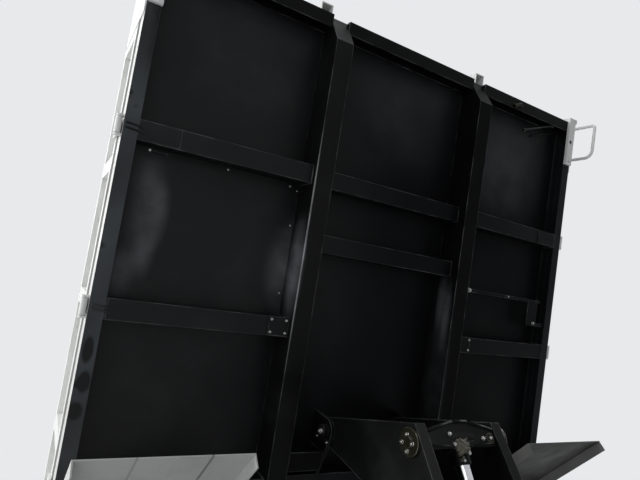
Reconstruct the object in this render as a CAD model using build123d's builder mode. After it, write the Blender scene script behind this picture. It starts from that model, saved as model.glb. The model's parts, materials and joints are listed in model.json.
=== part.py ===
from build123d import *

import os
from math import atan2, cos, degrees, hypot, radians, sin, tan

# Tipping body of a small dump truck, raised, on its subframe with the lever hoist under it.
# Millimetres. X is across (picture right), Y is rearward, Z is up. The origin lies under the
# tipping pivot, on the bottom face of the rear crossmember that sits on the truck's chassis.

# Tipping pivot
tip_angle = 50.0
pivot_height = 85.0
pin_radius = 18.0
pin_clearance = 0.15
pin_end = 8.0
pin_head_width = 7.0
lug_radius = 34.0
ear_width = 36.0
cheek_width = 12.0
side_gap = 2.5

# Body: run is measured forward of the pivot, rise is measured up from it, with the body lowered
front_run = 2950.0
rear_overhang = 190.0
floor_rise = 165.0
floor_thickness = 6.0
body_half_width = 950.0
rail_depth = 60.0
rail_flange = 41.0
rail_wall = 5.0
sill_depth = 110.0
sill_width = 65.0
sill_outer = 366.0
sill_wall = 6.0
nose_length = 103.0
nose_depth = 36.5

# Crossmembers
member_width = 60.0
member_wall = 5.0
member_overcut = 1.0
member_tip_depth = 58.0
member_root_depth = 86.0
first_member_offset = 529.0
member_pitch = 501.0
member_count = 5
extra_member_offset = 745.0
centre_depth = 70.0
end_rail_width = 45.0

# Walls of the load space
load_height = 270.0
gate_thickness = 25.0
gate_proud = 4.0
gate_skin = 4.0
gate_gap = 7.0
gate_rail = 34.0
tailgate_drop = 30.0
rib_width = 46.0
rib_pitch = 400.0
headboard_skin = 5.0
headboard_extra = 120.0
top_bar_width = 40.0
low_bar_width = 25.0
low_bar_height = 40.0
headboard_rib_depth = 57.0
headboard_rib_width = 45.0
rib_offset = 8.0
rib_drop = 12.0
end_gap = 8.0
gate_swing = 175.0
tailgate_range = 85.0

# Corner posts, the box feet under the front ones, and the ears of the tailgate
post_length = 230.0
rear_post_length = 60.0
post_lead = 17.0
post_front_width = 47.0
foot_length = 200.0
foot_width = 39.0
foot_height = 12.0
foot_hole_radius = 9.0
foot_hole_offset = 94.0
drain_radius = 4.5
drain_offset = 185.0
tailgate_pivot_height = 25.0
tailgate_ear = 10.0
tailgate_ear_depth = 120.0
tailgate_boss = 16.0
ear_waist_run = 12.0
ear_waist_fall = 10.0
ear_root_drop = 20.0

# Gate hinges
hinge_out = 12.0
hinge_up = 10.0
hinge_radius = 9.0
hinge_pin_radius = 6.0
lug_thickness = 6.0
strap_thickness = 6.0
strap_height = 45.0

# Step loops under the front corners
step_bar = 13.0
step_start = 30.0
step_width = 146.0
step_depth = 100.0
step_front_bend = 16.0
step_rear_bend = 32.0

# Mudguards and their stays
guard_width = 427.0
guard_front = 1353.0
guard_lip_depth = 333.0
guard_slope = 44.0
guard_top_depth = 90.0
guard_top_length = 430.0
guard_sheet = 4.0
guard_skirt = 38.0
stay_inner_offset = 70.0
stay_outer_offset = 110.0
stay_length = 36.0
stay_thickness = 6.0
stay_gap = 0.3

# Subframe
rail_height = 125.0
frame_wall = 6.0
frame_front_run = 2950.0
frame_nose_length = 160.0
frame_nose_height = 40.0
seat_half_length = 40.0
seat_height = 40.0
tube_length = 70.0
pad_height = 14.0
pad_length = 180.0
plate_length = 150.0
plate_drop = 95.0
plate_thickness = 8.0
bolt_spacing_along = 100.0
bolt_spacing_up = 50.0
bolt_hole_radius = 7.0

# Lever hoist: places by run and rise from the pivot
arm_pivot_run = 1567.0
arm_pivot_rise = 76.0
knee_run = 1673.0
knee_rise = -325.0
arm_turn = 55.1
link_pin_reach = 450.0
link_pin_lag = 22.9
link_base_rise = -80.0
cylinder_base_run = 1220.0
cylinder_base_rise = -100.0
face_gap = 0.5

# Lift arm, its brackets under the floor and the flanges at its knee
arm_spacing = 284.0
arm_thickness = 34.0
arm_boss = 42.0
arm_pin_radius = 20.0
arm_pin_end = 14.0
tube_radius = 36.0
toe_radius = 25.0
toe_reach = 82.0
corner_radius = 4.0
corner_reach = 15.0
corner_rise = 44.0
bracket_gap = 3.0
bracket_width = 12.0
bracket_nose = 44.0
bearer_length = 60.0
bearer_height = 96.0
bearer_setback = 66.0
flange_radius = 37.0
flange_thickness = 8.0
flange_cap = 5.0

# Tension links, their clevises and crossmember
link_thickness = 14.0
link_end_radius = 32.0
link_top_radius = 36.0
link_spacer_radius = 30.0
arm_gap = 5.0
clevis_gap = 2.0
clevis_width = 10.0
clevis_radius = 32.0
link_member_setback = 65.0
link_member_length = 60.0
link_member_height = 78.0

# Cylinder and its cradle
knee_pin_radius = 16.0
base_pin_radius = 25.0
barrel_radius = 55.0
barrel_wall = 8.0
barrel_start = 60.0
barrel_bottom = 15.0
barrel_setback = 75.0
base_neck_width = 70.0
gland_length = 30.0
gland_lip = 8.0
rod_radius = 20.0
rod_eye_radius = 32.0
rod_neck_radius = 27.0
rod_neck_length = 34.0
crosshead_lead = 21.0
crosshead_thickness = 10.0
crosshead_rise = 25.0
crosshead_fall = 26.0
arch_rise = 48.0
arch_half_width = 28.0
base_eye_radius = 40.0
piston_length = 40.0
piston_gap = 0.5
piston_rest = 5.0
retracted_reach = 735.0
eye_width = 80.0
cradle_fall = 84.0
cradle_depth = 46.0
cradle_cheek = 12.0
cradle_length = 100.0
hanger_length = 140.0
hanger_drop = 15.0


def turned(run, rise, angle):
    """A point given by run and rise, turned up about the pivot."""
    a = radians(angle)
    return run * cos(a) - rise * sin(a), run * sin(a) + rise * cos(a)


def frame_at(run, rise, angle=0.0):
    """A frame across the truck whose y looks rearward and whose front is turned up by an angle."""
    a = radians(angle)
    return Plane((0, -run, pivot_height + rise), x_dir=(1, 0, 0), z_dir=(0, sin(a), cos(a)))


def beside(frame, x):
    """Lengthwise plane of a frame at x: rearward is its x and up is its y."""
    return Plane(frame.from_local_coords((x, 0, 0)), x_dir=frame.y_dir, z_dir=frame.x_dir)


def across(frame, y):
    """Crosswise plane of a frame at y: picture right is its x and up is its y, looking forward."""
    return Plane(frame.from_local_coords((0, y, 0)), x_dir=frame.x_dir, z_dir=-frame.y_dir)


def level(frame, z):
    """Plane of a frame at a height z: picture right is its x and rearward is its y."""
    return Plane(frame.from_local_coords((0, 0, z)), x_dir=frame.x_dir, z_dir=frame.z_dir)


CHASSIS = frame_at(0, 0)
BED = frame_at(0, 0, tip_angle)
SIDES = {"right": -1, "left": 1}

finished = []


def finish(piece, label):
    """Names a finished piece and writes it."""
    piece.part.label = label
    export_step(piece.part, f"parts/{label}.step")
    finished.append(piece.part)


os.makedirs("parts", exist_ok=True)

# Lines of the body that several pieces share
front_y = -front_run
rear_y = rear_overhang
floor_top = floor_rise + floor_thickness
body_length = front_run + rear_overhang
wall_top = floor_top + load_height
rail_bottom = floor_rise - rail_depth
sill_inner = sill_outer - sill_width
sill_low = floor_rise - sill_depth
gate_outer = body_half_width + gate_proud
gate_inner = gate_outer - gate_thickness
gate_bottom = floor_top + gate_gap
gate_front_y = front_y + post_length + end_gap
gate_rear_y = rear_y - rear_post_length - end_gap
gate_length = gate_rear_y - gate_front_y
hinge_x = body_half_width + hinge_out
hinge_z = rail_bottom + hinge_up
member_fronts = [front_y + first_member_offset + n * member_pitch for n in range(member_count)]
rail_top = rail_height - pivot_height

# Places of the hoist's pins, raised, as run and rise, and the angles between them
arm_pivot = turned(arm_pivot_run, arm_pivot_rise, tip_angle)
knee = turned(knee_run, knee_rise, tip_angle)
knee_reach = hypot(knee_run - arm_pivot_run, knee_rise - arm_pivot_rise)
knee_angle = degrees(atan2(knee[1] - arm_pivot[1], knee[0] - arm_pivot[0]))
knee_angle_lowered = knee_angle - tip_angle + arm_turn
link_angle = knee_angle - link_pin_lag
link_angle_lowered = knee_angle_lowered - link_pin_lag
link_pin = (
    arm_pivot[0] + link_pin_reach * cos(radians(link_angle)),
    arm_pivot[1] + link_pin_reach * sin(radians(link_angle)),
)
link_pin_lowered = (
    arm_pivot_run + link_pin_reach * cos(radians(link_angle_lowered)),
    arm_pivot_rise + link_pin_reach * sin(radians(link_angle_lowered)),
)
knee_lowered = (
    arm_pivot_run + knee_reach * cos(radians(knee_angle_lowered)),
    arm_pivot_rise + knee_reach * sin(radians(knee_angle_lowered)),
)
# The link's lower pin is as far from its upper pin raised as lowered
mid_run = (link_pin[0] + link_pin_lowered[0]) / 2
mid_rise = (link_pin[1] + link_pin_lowered[1]) / 2
fall_run = link_pin_lowered[0] - link_pin[0]
fall_rise = link_pin_lowered[1] - link_pin[1]
link_base_run = mid_run + (mid_rise - link_base_rise) * fall_rise / fall_run
link_reach = hypot(link_pin[0] - link_base_run, link_pin[1] - link_base_rise)
bar_angle = degrees(atan2(link_pin[1] - link_base_rise, link_pin[0] - link_base_run))
bar_angle_lowered = degrees(
    atan2(link_pin_lowered[1] - link_base_rise, link_pin_lowered[0] - link_base_run)
)
cylinder_reach = hypot(knee[0] - cylinder_base_run, knee[1] - cylinder_base_rise)
cylinder_angle = degrees(atan2(knee[1] - cylinder_base_rise, knee[0] - cylinder_base_run))
cylinder_reach_lowered = hypot(
    knee_lowered[0] - cylinder_base_run, knee_lowered[1] - cylinder_base_rise
)
cylinder_angle_lowered = degrees(
    atan2(knee_lowered[1] - cylinder_base_rise, knee_lowered[0] - cylinder_base_run)
)

ARM = frame_at(arm_pivot[0], arm_pivot[1], knee_angle)
LINK = frame_at(link_base_run, link_base_rise, bar_angle)
RAM = frame_at(cylinder_base_run, cylinder_base_rise, cylinder_angle)

arm_inner = arm_spacing / 2 - arm_thickness / 2
arm_outer = arm_spacing / 2 + arm_thickness / 2
link_inner = arm_outer + arm_gap
link_outer = link_inner + link_thickness
link_middle = (link_inner + link_outer) / 2
link_pin_y = -link_pin_reach * cos(radians(link_pin_lag))
link_pin_z = -link_pin_reach * sin(radians(link_pin_lag))


def block(x0, x1, y0, y1, z0, z1, mode=Mode.ADD):
    """Adds or cuts a box given by its limits in the frame of the part being built."""
    with Locations(((x0 + x1) / 2, (y0 + y1) / 2, (z0 + z1) / 2)):
        Box(abs(x1 - x0), y1 - y0, z1 - z0, mode=mode)


# Subframe: two channels open inward, with tapered noses
for side, sign in SIDES.items():
    with BuildPart() as rail:
        nose = -frame_front_run + frame_nose_length
        with BuildSketch(beside(CHASSIS, sign * sill_outer)):
            with BuildLine():
                Polyline(
                    (-seat_half_length, -pivot_height),
                    (-seat_half_length, rail_top),
                    (-frame_front_run, rail_top),
                    (-frame_front_run, rail_top - frame_nose_height),
                    (nose, -pivot_height),
                    close=True,
                )
            make_face()
        extrude(amount=-sign * sill_width)
        with BuildSketch(beside(CHASSIS, sign * (sill_outer - frame_wall))):
            with BuildLine():
                Polyline(
                    (-seat_half_length, frame_wall - pivot_height),
                    (-seat_half_length, rail_top - frame_wall),
                    (-frame_front_run, rail_top - frame_wall),
                    (-frame_front_run, rail_top - frame_nose_height),
                    (nose, frame_wall - pivot_height),
                    close=True,
                )
            make_face()
        extrude(amount=-sign * sill_width, mode=Mode.SUBTRACT)
    finish(rail, f"subframe_rail_{side}")

with BuildPart(CHASSIS) as seat:
    low = -pivot_height
    half = seat_half_length
    block(-sill_outer, sill_outer, -half, half, low, low + seat_height)
finish(seat, "rear_crossmember")

# Crossmembers between the rails, as tubes: distance behind the rails' front ends, height
tube_rows = [(650.0, 90.0), (220.0, 75.0)]
with BuildPart(CHASSIS) as tubes:
    web = sill_outer - frame_wall
    half = tube_length / 2
    for setback, height in tube_rows:
        y = -frame_front_run + setback
        low = frame_wall - pivot_height
        block(-web, web, y - half, y + half, low, low + height)
        block(
            -web, web, y - half + frame_wall, y + half - frame_wall,
            low + frame_wall, low + height - frame_wall,
            mode=Mode.SUBTRACT,
        )
finish(tubes, "front_crossmembers")

# Hinge lugs on the rear crossmember: two cheeks a side, with the body's ear between them
ear_x = sill_outer - sill_width / 2
cheek_starts = [-ear_width / 2 - side_gap - cheek_width, ear_width / 2 + side_gap]
with BuildPart() as cheeks:
    for sign in SIDES.values():
        for start in cheek_starts:
            with BuildSketch(beside(CHASSIS, sign * ear_x + start)):
                Circle(lug_radius)
                low = seat_height - pivot_height
                with Locations((0, low / 2)):
                    Rectangle(2 * lug_radius, -low)
                Circle(pin_radius + pin_clearance, mode=Mode.SUBTRACT)
            extrude(amount=cheek_width)
finish(cheeks, "hinge_lugs")

for side, sign in SIDES.items():
    with BuildPart() as pin:
        reach = ear_width / 2 + side_gap + cheek_width + pin_end
        with BuildSketch(beside(CHASSIS, sign * ear_x - reach)):
            Circle(pin_radius)
        extrude(amount=2 * reach)
        with BuildSketch(beside(CHASSIS, sign * ear_x - sign * reach)):
            Circle(pin_radius + pin_end)
        extrude(amount=sign * pin_head_width)
    finish(pin, f"hinge_pin_{side}")

# Rubber pads on the rails, just under the lowered sills
pad_runs = [500.0, 1100.0, 1750.0, 2450.0]
with BuildPart(CHASSIS) as pads:
    for sign in SIDES.values():
        for run in pad_runs:
            with Locations((sign * ear_x, -run, rail_top + pad_height / 2)):
                Box(sill_width, pad_length, pad_height)
finish(pads, "rest_pads")

# Shear plates that bolt to the outside of the truck's chassis rails
plate_runs = [520.0, 1650.0, 2600.0]
plate_low = -pivot_height - plate_drop
for side, sign in SIDES.items():
    with BuildPart() as plates:
        for run in plate_runs:
            with BuildSketch(beside(CHASSIS, sign * sill_outer)):
                with Locations((-run, plate_low / 2)):
                    Rectangle(plate_length, -plate_low)
                with Locations((-run, -pivot_height - plate_drop / 2)):
                    with GridLocations(bolt_spacing_along, bolt_spacing_up, 2, 2):
                        Circle(bolt_hole_radius, mode=Mode.SUBTRACT)
            extrude(amount=sign * plate_thickness)
    finish(plates, f"shear_plates_{side}")

# Crossmember and clevises that carry the tension links
link_member_front = -link_base_run + link_member_setback
link_member_low = frame_wall - pivot_height
with BuildPart(CHASSIS) as link_member:
    block(
        -sill_inner, sill_inner,
        link_member_front, link_member_front + link_member_length,
        link_member_low, link_member_low + link_member_height,
    )
finish(link_member, "link_crossmember")

with BuildPart() as clevises:
    for sign in SIDES.values():
        for x in (link_inner - clevis_gap - clevis_width, link_outer + clevis_gap):
            with BuildSketch(beside(CHASSIS, sign * (x + clevis_width / 2) - clevis_width / 2)):
                with Locations((-link_base_run, link_base_rise)):
                    Circle(clevis_radius)
                with BuildLine():
                    Polyline(
                        (link_member_front, link_member_low + clevis_gap),
                        (link_member_front, link_member_low + link_member_height - clevis_gap),
                        (-link_base_run, link_base_rise + clevis_radius),
                        (-link_base_run, link_base_rise - clevis_radius),
                        close=True,
                    )
                make_face()
                with Locations((-link_base_run, link_base_rise)):
                    Circle(pin_radius + pin_clearance, mode=Mode.SUBTRACT)
            extrude(amount=clevis_width)
finish(clevises, "link_clevises")

with BuildPart() as link_pins:
    for sign in SIDES.values():
        half = link_thickness / 2 + clevis_gap + clevis_width + pin_end
        with BuildSketch(beside(frame_at(link_base_run, link_base_rise), sign * link_middle - half)):
            Circle(pin_radius)
        extrude(amount=2 * half)
finish(link_pins, "link_base_pins")

# Dropped cradle under the cylinder, hung from the rails
cradle_top = cylinder_base_rise - cradle_fall
cradle_low = cradle_top - cradle_depth
with BuildPart(CHASSIS) as cradle:
    y = -cylinder_base_run
    half = cradle_length / 2
    block(-sill_inner, sill_inner, y - half, y + half, cradle_low, cradle_top)
    for sign in SIDES.values():
        inner = sign * (sill_inner - cradle_cheek)
        half = hanger_length / 2
        block(inner, sign * sill_inner, y - half, y + half, cradle_low, rail_top - hanger_drop)
        start = sign * (eye_width / 2 + clevis_gap + cradle_cheek / 2) - cradle_cheek / 2
        foot_half = base_eye_radius + clevis_gap
        with BuildSketch(beside(CHASSIS, start)):
            with Locations((y, cylinder_base_rise)):
                Circle(base_eye_radius)
            with BuildLine():
                Polyline(
                    (y - foot_half, cradle_top),
                    (y - base_eye_radius, cylinder_base_rise),
                    (y + base_eye_radius, cylinder_base_rise),
                    (y + foot_half, cradle_top),
                    close=True,
                )
            make_face()
            with Locations((y, cylinder_base_rise)):
                Circle(base_pin_radius + pin_clearance, mode=Mode.SUBTRACT)
        extrude(amount=cradle_cheek)
finish(cradle, "cylinder_cradle")

with BuildPart() as base_pin:
    half = eye_width / 2 + clevis_gap + cradle_cheek + pin_end
    with BuildSketch(beside(frame_at(cylinder_base_run, cylinder_base_rise), -half)):
        Circle(base_pin_radius)
    extrude(amount=2 * half)
finish(base_pin, "cylinder_base_pin")

# Floor of the load space
with BuildPart(BED) as floor:
    block(-body_half_width, body_half_width, front_y, rear_y, floor_rise, floor_top)
finish(floor, "floor_plate")

# Main sills: box sections that run to the front edge, with noses cut upward there
for side, sign in SIDES.items():
    with BuildPart() as sill:
        nose = front_y + nose_length
        with BuildSketch(beside(BED, sign * sill_outer)):
            with BuildLine():
                Polyline(
                    (rear_y, sill_low),
                    (rear_y, floor_rise),
                    (front_y, floor_rise),
                    (front_y, floor_rise - nose_depth),
                    (nose, sill_low),
                    close=True,
                )
            make_face()
        extrude(amount=-sign * sill_width)
        with BuildSketch(beside(BED, sign * (sill_outer - sill_wall))):
            with BuildLine():
                Polyline(
                    (rear_y, sill_low + sill_wall),
                    (rear_y, floor_rise - sill_wall),
                    (front_y + sill_wall, floor_rise - sill_wall),
                    (front_y + sill_wall, floor_rise - nose_depth + sill_wall),
                    (nose, sill_low + sill_wall),
                    close=True,
                )
            make_face()
        extrude(amount=-sign * (sill_width - 2 * sill_wall), mode=Mode.SUBTRACT)
    finish(sill, f"sill_{side}")

# Side rails: channels open inward under the floor's edges
for side, sign in SIDES.items():
    with BuildPart() as edge:
        with BuildSketch(across(BED, rear_y)):
            with Locations((sign * (body_half_width - rail_flange / 2), floor_rise - rail_depth / 2)):
                Rectangle(rail_flange, rail_depth)
            with Locations(
                (sign * (body_half_width - rail_wall - rail_flange / 2), floor_rise - rail_depth / 2)
            ):
                Rectangle(rail_flange, rail_depth - 2 * rail_wall, mode=Mode.SUBTRACT)
        extrude(amount=body_length)
    finish(edge, f"side_rail_{side}")

# Outriggers from the sills to the side rails, deeper at the sill
for side, sign in SIDES.items():
    with BuildPart() as outriggers:
        tip_x = body_half_width - rail_wall
        tip_z = rail_bottom + rail_wall
        for start in member_fronts:
            with BuildSketch(across(BED, start + member_width)):
                with BuildLine():
                    Polyline(
                        (sign * sill_outer, floor_rise),
                        (sign * (tip_x - rail_flange), floor_rise),
                        (sign * (tip_x - rail_flange), floor_rise - rail_wall),
                        (sign * tip_x, floor_rise - rail_wall),
                        (sign * tip_x, tip_z),
                        (sign * (tip_x - rail_flange), tip_z),
                        (sign * (tip_x - rail_flange), floor_rise - member_tip_depth),
                        (sign * sill_outer, floor_rise - member_root_depth),
                        close=True,
                    )
                make_face()
            extrude(amount=member_width)
            with BuildSketch(across(BED, start + member_width - member_wall)):
                with BuildLine():
                    Polyline(
                        (sign * (sill_outer - member_overcut), floor_rise - member_wall),
                        (sign * (tip_x + member_overcut), floor_rise - member_wall - rail_wall),
                        (sign * (tip_x + member_overcut), tip_z + member_wall),
                        (sign * (sill_outer - member_overcut), floor_rise - member_root_depth + member_wall),
                        close=True,
                    )
                make_face()
            extrude(amount=member_width - 2 * member_wall, mode=Mode.SUBTRACT)
    finish(outriggers, f"outriggers_{side}")

# Crossmembers between the sills, with the hoist's bay left open
centre_starts = [member_fronts[0], front_y + extra_member_offset] + member_fronts[2:]
with BuildPart(BED) as centres:
    for start in centre_starts:
        low = floor_rise - centre_depth
        block(-sill_inner, sill_inner, start, start + member_width, low, floor_rise)
        block(
            -sill_inner, sill_inner,
            start + member_wall, start + member_width - member_wall,
            low + member_wall, floor_rise - member_wall,
            mode=Mode.SUBTRACT,
        )
finish(centres, "centre_crossmembers")

# Front rail in three lengths: between the sills, and from each sill to the side rail
inner_x = body_half_width - rail_flange
with BuildPart(BED) as ends:
    for x0, x1 in ((-inner_x, -sill_outer), (-sill_inner, sill_inner), (sill_outer, inner_x)):
        block(x0, x1, front_y, front_y + end_rail_width, rail_bottom, floor_rise)
        block(
            x0, x1, front_y + rail_wall, front_y + end_rail_width,
            rail_bottom + rail_wall, floor_rise - rail_wall,
            mode=Mode.SUBTRACT,
        )
finish(ends, "front_rail")

# Headboard with upright ribs ahead of it, nearly in line with the sills
headboard_top = wall_top + headboard_extra
with BuildPart(BED) as headboard:
    half = gate_inner
    low = wall_top - gate_rail
    block(-half, half, front_y, front_y + headboard_skin, floor_top, headboard_top)
    block(-half, half, front_y, front_y + top_bar_width, headboard_top - top_bar_width, headboard_top)
    block(-half, half, front_y, front_y + low_bar_width, low - low_bar_height, low)
finish(headboard, "headboard")

with BuildPart(BED) as ribs:
    for sign in SIDES.values():
        x = sign * (sill_outer + rib_offset)
        half = headboard_rib_width / 2
        start = front_y - headboard_rib_depth
        low = floor_rise - rib_drop
        block(x - half, x + half, start, front_y, low, headboard_top)
        block(
            x - half + gate_skin, x + half - gate_skin, start + gate_skin, front_y,
            low, headboard_top - gate_skin,
            mode=Mode.SUBTRACT,
        )
finish(ribs, "headboard_ribs")

# Corner posts: wide fixed posts at the front on box feet, slim ones at the rear for the tailgate
tailgate_pivot_y = rear_y - rear_post_length / 2
tailgate_pivot_z = wall_top + tailgate_pivot_height
foot_bottom = rail_bottom - foot_height
foot_start = front_y - post_lead
foot_outer = gate_outer - post_front_width + foot_width
for side, sign in SIDES.items():
    outer_x = sign * gate_outer
    inner_x = sign * gate_inner
    front_x = sign * (gate_outer - post_front_width)
    edge_x = sign * body_half_width
    hollow = sign * gate_skin
    with BuildPart(BED) as post:
        y1 = front_y + post_length
        block(inner_x, outer_x, front_y, y1, floor_top, wall_top)
        block(
            inner_x + hollow, outer_x - hollow, front_y, y1 - gate_skin,
            floor_top, wall_top - gate_skin,
            mode=Mode.SUBTRACT,
        )
        block(edge_x, outer_x, front_y, y1, rail_bottom, floor_top)
        block(front_x, outer_x, foot_start, front_y, foot_bottom, wall_top)
        foot_x = sign * foot_outer
        foot_end = front_y + foot_length
        block(front_x, foot_x, foot_start, foot_end, foot_bottom, rail_bottom)
        block(
            front_x + hollow, foot_x - hollow, front_y, foot_end - gate_skin,
            foot_bottom + gate_skin, rail_bottom,
            mode=Mode.SUBTRACT,
        )
        with BuildSketch(level(BED, foot_bottom)):
            with Locations(((front_x + foot_x) / 2, front_y + foot_hole_offset)):
                Circle(foot_hole_radius)
            with Locations(((front_x + foot_x) / 2, front_y + drain_offset)):
                Circle(drain_radius)
        extrude(amount=gate_skin, mode=Mode.SUBTRACT)
    finish(post, f"front_post_{side}")
    with BuildPart(BED) as post:
        y0 = rear_y - rear_post_length
        post_top = tailgate_pivot_z + tailgate_pivot_height
        block(inner_x, outer_x, y0, rear_y, floor_top, post_top)
        block(
            inner_x + hollow, outer_x - hollow, y0 + gate_skin, rear_y - gate_skin,
            floor_top, wall_top - gate_rail,
            mode=Mode.SUBTRACT,
        )
        block(edge_x, outer_x, y0, rear_y, rail_bottom, floor_top)
        with BuildSketch(beside(BED, outer_x)):
            with Locations((tailgate_pivot_y, tailgate_pivot_z)):
                Circle(hinge_pin_radius + pin_clearance)
        extrude(amount=-sign * gate_thickness, mode=Mode.SUBTRACT)
    finish(post, f"rear_post_{side}")

# Step loops under the front feet, bent from round bar
step_x = foot_outer - step_bar / 2 - face_gap
for side, sign in SIDES.items():
    with BuildPart() as loop:
        y0 = front_y + step_start
        with BuildLine(beside(BED, sign * step_x)) as path:
            FilletPolyline(
                (y0, foot_bottom),
                (y0, foot_bottom - step_depth),
                (y0 + step_width, foot_bottom - step_depth),
                (y0 + step_width, foot_bottom),
                radius=(step_front_bend, step_rear_bend),
            )
        with BuildSketch(Plane(path.line @ 0, z_dir=path.line % 0)):
            Circle(step_bar / 2)
        sweep()
    finish(loop, f"step_loop_{side}")

# Hinge stations of the side gates: two lugs at the rail's side and the pin between them
hinge_ys = [start + member_width / 2 for start in member_fronts]
knuckle_half = rib_width / 2
lug_start = knuckle_half + side_gap / 2
hinge_half = lug_start + lug_thickness
for side, sign in SIDES.items():
    with BuildPart() as lugs:
        for y in hinge_ys:
            for edge_y in (y + hinge_half, y - lug_start):
                with BuildSketch(across(BED, edge_y)):
                    with Locations((sign * hinge_x, hinge_z)):
                        Circle(hinge_radius)
                    with Locations((sign * (body_half_width + hinge_out / 2), hinge_z)):
                        Rectangle(hinge_out, 2 * hinge_radius)
                extrude(amount=lug_thickness)
            with BuildSketch(across(BED, y + hinge_half)):
                with Locations((sign * hinge_x, hinge_z)):
                    Circle(hinge_pin_radius)
            extrude(amount=2 * hinge_half)
    finish(lugs, f"gate_hinges_{side}")

# Side gates: a skin inside, rails and ribs outside, and straps that reach down to the hinge pins
rib_count = int((gate_length - gate_rail) // rib_pitch)
rib_step = (gate_length - gate_rail) / rib_count
for side, sign in SIDES.items():
    inner_x = sign * gate_inner
    skin_x = sign * (gate_inner + gate_skin)
    outer_x = sign * gate_outer
    strap_x = sign * (gate_outer + strap_thickness)
    with BuildPart(BED) as gate:
        block(inner_x, skin_x, gate_front_y, gate_rear_y, gate_bottom, wall_top)
        block(inner_x, outer_x, gate_front_y, gate_rear_y, wall_top - gate_rail, wall_top)
        block(inner_x, outer_x, gate_front_y, gate_rear_y, gate_bottom, gate_bottom + gate_rail)
        for n in range(rib_count + 1):
            y = gate_front_y + gate_rail / 2 + n * rib_step
            half = gate_rail / 2 if n in (0, rib_count) else rib_width / 2
            block(inner_x, outer_x, y - half, y + half, gate_bottom, wall_top)
        for y in hinge_ys:
            strap_top = gate_bottom + strap_height
            block(outer_x, strap_x, y - knuckle_half, y + knuckle_half, hinge_z, strap_top)
            with BuildSketch(across(BED, y + knuckle_half)):
                with Locations((sign * hinge_x, hinge_z)):
                    Circle(hinge_radius)
            extrude(amount=2 * knuckle_half)
            with BuildSketch(across(BED, y + knuckle_half)):
                with Locations((sign * hinge_x, hinge_z)):
                    Circle(hinge_pin_radius + pin_clearance)
            extrude(amount=2 * knuckle_half, mode=Mode.SUBTRACT)
    finish(gate, f"side_gate_{side}")

# Tailgate, hung from the tops of the rear posts
with BuildPart(BED) as tailgate:
    half = body_half_width
    y0 = rear_y + gate_gap
    y1 = y0 + gate_thickness
    low = floor_rise - tailgate_drop
    block(-half, half, y0, y0 + gate_skin, low, wall_top)
    block(-half, half, y0, y1, wall_top - gate_rail, wall_top)
    block(-half, half, y0, y1, low, low + gate_rail)
    for n in range(member_count):
        x = -half + gate_rail / 2 + n * (2 * half - gate_rail) / (member_count - 1)
        block(x - gate_rail / 2, x + gate_rail / 2, y0, y1, low, wall_top)
    ear_middle = gate_inner - side_gap - tailgate_ear / 2
    for sign in SIDES.values():
        with BuildSketch(beside(BED, sign * ear_middle - tailgate_ear / 2)):
            with BuildLine():
                Polyline(
                    (y0, wall_top - tailgate_ear_depth),
                    (y1, wall_top - tailgate_ear_depth),
                    (y1, wall_top),
                    (tailgate_pivot_y, tailgate_pivot_z + tailgate_boss),
                    (tailgate_pivot_y - ear_waist_run, tailgate_pivot_z - ear_waist_fall),
                    (y0, wall_top - ear_root_drop),
                    close=True,
                )
            make_face()
            with Locations((tailgate_pivot_y, tailgate_pivot_z)):
                Circle(tailgate_boss)
        extrude(amount=tailgate_ear)
        with BuildSketch(beside(BED, sign * ear_middle)):
            with Locations((tailgate_pivot_y, tailgate_pivot_z)):
                Circle(hinge_pin_radius)
        extrude(amount=sign * (gate_outer + pin_end - ear_middle))
finish(tailgate, "tailgate")

# Mudguards: bent sheet over the wheels, rising with the body
guard_y = front_y + guard_front
guard_low = floor_rise - guard_lip_depth
guard_top = floor_rise - guard_top_depth
guard_run = (guard_top - guard_low) / tan(radians(guard_slope))
guard_outline = [
    (guard_y, guard_low),
    (guard_y + guard_run, guard_top),
    (guard_y + guard_run + guard_top_length, guard_top),
    (guard_y + 2 * guard_run + guard_top_length, guard_low),
]
for side, sign in SIDES.items():
    with BuildPart() as guard:
        with BuildSketch(beside(BED, sign * body_half_width)):
            with BuildLine():
                Polyline(*guard_outline)
                offset(amount=guard_sheet, side=Side.RIGHT)
            make_face()
        extrude(amount=-sign * guard_width)
        for start, thick in ((body_half_width, -guard_sheet), (body_half_width - guard_width, guard_sheet)):
            with BuildSketch(beside(BED, sign * start)):
                with BuildLine():
                    Polyline(*guard_outline)
                    offset(amount=guard_skirt, side=Side.RIGHT)
                make_face()
            extrude(amount=sign * thick)
    finish(guard, f"mudguard_{side}")

# Stays that hang the mudguards from the outriggers: across, and the outrigger above
stay_xs = [body_half_width - guard_width + stay_inner_offset, body_half_width - stay_outer_offset]
taper = (member_root_depth - member_tip_depth) / (body_half_width - rail_flange - sill_outer)
with BuildPart() as stays:
    for sign in SIDES.values():
        for x in stay_xs:
            member_low = floor_rise - member_root_depth + taper * (x - stay_thickness - sill_outer)
            for start, slope in ((member_fronts[2], 1), (member_fronts[3], -1)):
                y0 = start + (member_width - stay_length) / 2
                y1 = y0 + stay_length
                bend = guard_y + guard_run + (0 if slope > 0 else guard_top_length)
                fall = tan(radians(guard_slope))
                lows = [guard_top - max(0, slope * (bend - y)) * fall + 2 * stay_gap for y in (y0, y1)]
                with BuildSketch(beside(BED, sign * x - stay_thickness / 2)):
                    with BuildLine():
                        Polyline((y0, lows[0]), (y1, lows[1]), (y1, member_low), (y0, member_low), close=True)
                    make_face()
                extrude(amount=stay_thickness)
finish(stays, "mudguard_stays")

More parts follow.
